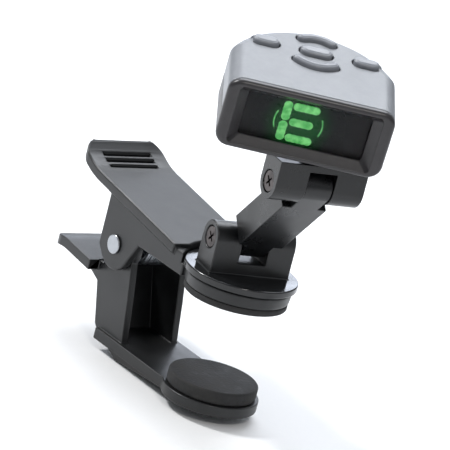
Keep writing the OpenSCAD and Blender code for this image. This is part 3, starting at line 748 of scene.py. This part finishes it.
MATERIALS = {
    # satin black ABS of the levers: fine grain that breaks the highlight up
    "clip_black": moulded("abs_black_satin_moulded", "#141516", "#1b1c1d", 0.38, relief=0.006),
    # black ABS: the turning disc carries a clear reflection, the hinge block above it is only satin
    "turret_black": polished("abs_black_gloss_moulded", "#121314", "#1b1c1e", 0.14, 0.2, 5.15),
    # black acetal of the arm and bracket: a waxy, even sheen
    "arm_black": moulded("acetal_black_moulded", "#101112", "#17181a", 0.3, grain=0.3, relief=0.001),
    # cool grey cover: soft, nearly even tone
    "case_grey": moulded("abs_grey_satin_moulded", "#7b7e83", "#84878c", 0.4, relief=0.006, spread=0.06),
    # lower case and drawer: duller and a shade lighter than the levers
    "case_black": moulded("abs_black_moulded", "#161718", "#1e1f21", 0.4, relief=0.007),
    # bezel: dark warm grey with a satin bloom
    "bezel_black": moulded("abs_charcoal_moulded", "#262426", "#2e2c2e", 0.34, relief=0.006, spread=0.06),
    # key caps: the cover's grey a touch darker and smoother, so their rims catch the light
    "button_grey": moulded("abs_grey_key_moulded", "#767980", "#818489", 0.34, relief=0.004, spread=0.06),
    # jaw pads: matt, pebbled, with a little dust
    "rubber_black": rubber("rubber_black_compression_moulded", "#1c1c1d", "#3c3b39"),
    # pivot pin and hidden fixings: bright, slightly blurred reflection
    "steel": metal("steel_zinc_plated", "#a6a9ad", "#9ea1a5", 0.3, DRAWN, 0.25, 0.0004),
    # hinge screw heads: steel painted dark as painted shade of the recesses they sit in, so that they only
    # glint on their edges
    "steel_blackened": metal("steel_painted_recess_shade", "#4b4544", "#2b2828", 0.3, DRAWN),
    # spring wire: dull bright lines along each turn
    "spring_steel": metal("spring_steel_drawn_wire", "#9a9ea4", "#84888d", 0.42, (1.0, 3.0, 1.0), 0.3,
                          0.0003),
    # hinge washers: milky off-white, barely seen between the ears
    "nylon_white": moulded("nylon_natural_moulded", "#d8d6cc", "#c6c3b6", 0.5, relief=0.003),
    # window: almost invisible, so that the display behind it reads clearly
    "lens_clear": clear_lens("acrylic_clear_cast"),
    # display: deep black with a green haze behind the letter; its colour holds painted green spill near the
    # letter and a painted reddish reflection further out
    "display_black": display_glass("display_glass_black"),
    # letter and arcs: the one bright colour on the object
    "lit_green": lit_green("diffuser_green_lit"),
    # board: green gloss, seen through the open drawer slot
    "board_green": laminate("glass_laminate_solder_masked"),
    # chip: dull dark block on the board
    "chip_black": moulded("epoxy_black_transfer_moulded", "#18191a", "#232425", 0.55),
    # switch housings: pale bright tin
    "switch_metal": metal("steel_tin_plated_stamped", "#b9bcc0", "#94979a", 0.3),
    # sensor disc: warm yellow metal
    "brass": metal("brass_rolled_sheet", "#c2a15a", "#96783c", 0.3, (1.0, 5.0, 1.0)),
    # coin cell: the brightest, smoothest metal
    "cell_steel": metal("steel_nickel_plated_drawn", "#c9cacb", "#a5a7a9", 0.2, (1.0, 4.0, 1.0)),
    # cell contacts: pale, faintly warm spring metal
    "contact_plate": metal("phosphor_bronze_nickel_plated", "#cfcfca", "#a9a79d", 0.26),
}


def dress(obj, slot, body=None):
    """Gives a piece the material of its slot and the body it moves with."""
    obj.data.materials.clear()
    obj.data.materials.append(MATERIALS[slot])
    if body:
        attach(obj, body)


# ---------------------------------------------------------------- building the piece list

CAD_SLOTS = {
    "clip_black": ["upper_clip_lever", "lower_clip_lever"],
    "rubber_black": ["upper_jaw_pad", "lower_jaw_pad"],
    "turret_black": ["turret"],
    "arm_black": ["arm", "head_bracket"],
    "steel": ["clip_pivot_pin", "turret_screw", "swivel_screw", "case_screws", "turret_washer",
              "swivel_washer"],
    # hinge screws and nuts: steel painted dark as painted shade of their recesses
    "steel_blackened": ["lower_hinge_screw", "lower_hinge_nut", "upper_hinge_screw", "upper_hinge_nut"],
    "spring_steel": ["clip_spring"],
    "nylon_white": ["lower_hinge_washers", "upper_hinge_washers"],
    "case_grey": ["top_case"],
    "case_black": ["bottom_case", "battery_drawer"],
    "bezel_black": ["front_bezel"],
    "button_grey": ["centre_button", "front_button", "rear_button", "left_button", "right_button"],
    "lens_clear": ["display_lens"],
    "display_black": ["display_panel"],
    "lit_green": ["lit_segments"],
    "board_green": ["circuit_board"],
    "chip_black": ["main_chip"],
    "switch_metal": ["tact_switches"],
    "brass": ["piezo_sensor"],
    "cell_steel": ["coin_cell"],
    "contact_plate": ["battery_contacts"],
}

EDGE_WIDTHS = {      # softened edge of each CAD node, mm; the rest get the last value
    "upper_clip_lever": 0.35, "lower_clip_lever": 0.2, "turret": 0.25, "arm": 0.15,
    "head_bracket": 0.12, "upper_jaw_pad": 0.3, "lower_jaw_pad": 0.4, "bottom_case": 0.2,
    "battery_drawer": 0.15,
    "clip_pivot_pin": 0.2, "coin_cell": 0.3, "display_lens": 0.05, "other": 0.06,
}


def dress_cad():
    for slot, nodes in CAD_SLOTS.items():
        for node in nodes:
            obj = frame["nodes"][node]
            dress(obj, slot)
            soften(obj, EDGE_WIDTHS.get(node, EDGE_WIDTHS["other"]))


def build_pieces():
    cover = build_top_cover()
    soften(cover, 0)
    dress(cover, "case_grey", "head")
    bezel = build_bezel()
    soften(bezel, 0)
    dress(bezel, "bezel_black", "head")
    for kind, ring in BUTTONS.items():
        cap = button_cap(kind, ring)
        soften(cap, 0)
        dress(cap, "button_grey", kind + "_button")
    letter = build_letter()
    dress(letter, "lit_green", "head")
    for wire, body in zip(build_spring(), ("upper_clip", "lower_clip")):
        soften(wire, 0)
        dress(wire, "spring_steel", body)


# ---------------------------------------------------------------- stage, light and camera

def build_stage():
    """Plain pale sheet under the tuner."""
    lo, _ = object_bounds()
    size, gap = 3.0, 0.0002      # metres
    corners = [(x, y, lo.z - gap) for x, y in ((-size, -size), (size, -size), (size, size), (-size, size))]
    mesh = bpy.data.meshes.new("floor")
    mesh.from_pydata(corners, [], [(0, 1, 2, 3)])
    floor = bpy.data.objects.new("floor", mesh)
    bpy.context.scene.collection.objects.link(floor)
    made, tree, place = blank("paper_white_matt")
    fibre = add(tree, NOISE, {"Vector": place, "Scale": per_metre(0.8), "Detail": 3.0, "Roughness": 0.6})
    tone = add(tree, MIX, {MIX_FACTOR: fibre, MIX_A: srgb("#f1f2f3"), MIX_B: srgb("#f6f6f6")}, MIX_COLOUR,
               data_type="RGBA")
    matt = add(tree, RANGE, {"Value": fibre, "From Min": 0.3, "From Max": 0.7,
                             "To Min": 0.75, "To Max": 0.85})
    skin = add(tree, BUMP, {"Height": fibre, "Distance": 0.01 * MM, "Strength": 0.3})
    shader = add(tree, PRINCIPLED, {"Base Color": tone, "Roughness": matt, "Normal": skin})
    add(tree, OUTPUT, {"Surface": shader}, None)
    mesh.materials.append(made)
    floor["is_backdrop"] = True


def area_light(name, place, target, size, power, tint):
    data = bpy.data.lights.new(name, "AREA")
    data.shape = "RECTANGLE"
    data.size, data.size_y = size
    data.energy = power
    data.color = srgb(tint)[:3]
    lamp = bpy.data.objects.new(name, data)
    lamp.location = place
    lamp.rotation_mode = "QUATERNION"
    lamp.rotation_quaternion = (Vector(target) - Vector(place)).to_track_quat("-Z", "Y")
    bpy.context.scene.collection.objects.link(lamp)


def build_light():
    world = bpy.data.worlds.new("soft_surround")
    world.use_nodes = True
    tree = world.node_tree
    tree.nodes.clear()
    sky = add(tree, "ShaderNodeTexCoord", out="Generated")
    height = add(tree, "ShaderNodeSeparateXYZ", {"Vector": sky}, "Z")
    glow = add(tree, RANGE, {"Value": height, "From Min": 0.05, "From Max": 0.75,
                             "To Min": 0.3, "To Max": 0.6})
    surround = add(tree, "ShaderNodeBackground", {"Color": srgb("#eef2f7"), "Strength": glow})
    add(tree, "ShaderNodeOutputWorld", {"Surface": surround}, None)
    bpy.context.scene.world = world
    aim = (0, 0, 0.01)
    area_light("overhead_softbox", (-0.28, 0.22, 0.5), aim, (0.42, 0.36), 2.6, "#f4f8ff")
    area_light("rim_card", (-0.39, -0.27, 0.48), aim, (0.11, 0.11), 3.0, "#ffffff")
    area_light("low_back_card", (-0.5, 0.4, 0.19), aim, (0.5, 0.1), 0.7, "#e8f0ff")
    area_light("front_top_card", (0.45, -0.2, 0.46), aim, (0.1, 0.1), 0.9, "#fffaf4")
    bpy.context.scene.view_settings.view_transform = "Standard"


CAMERA_PLACE = (422.5, -364.5, 183.85)      # mm
CAMERA_UP = (-0.469, 0.066, 0.881)
CAMERA_SLIDE = (4.4, -4.0)                  # mm, right and up, for the framing
CAMERA_LENS = 272


def build_camera():
    data = bpy.data.cameras.new("camera")
    data.lens = CAMERA_LENS
    data.sensor_width = 36
    cam = bpy.data.objects.new("camera", data)
    place = Vector(CAMERA_PLACE) * MM
    lo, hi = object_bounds()
    target = (lo + hi) / 2
    ahead = (target - place).normalized()
    right = ahead.cross(Vector(CAMERA_UP)).normalized()
    up = right.cross(ahead)
    place += right * CAMERA_SLIDE[0] * MM + up * CAMERA_SLIDE[1] * MM
    turn = Matrix((right, up, -ahead)).transposed()
    cam.matrix_world = Matrix.Translation(place) @ turn.to_4x4()
    data.clip_start, data.clip_end = 0.02, 20
    bpy.context.scene.collection.objects.link(cam)
    bpy.context.scene.camera = cam


dress_cad()
build_pieces()
build_stage()
build_light()
build_camera()
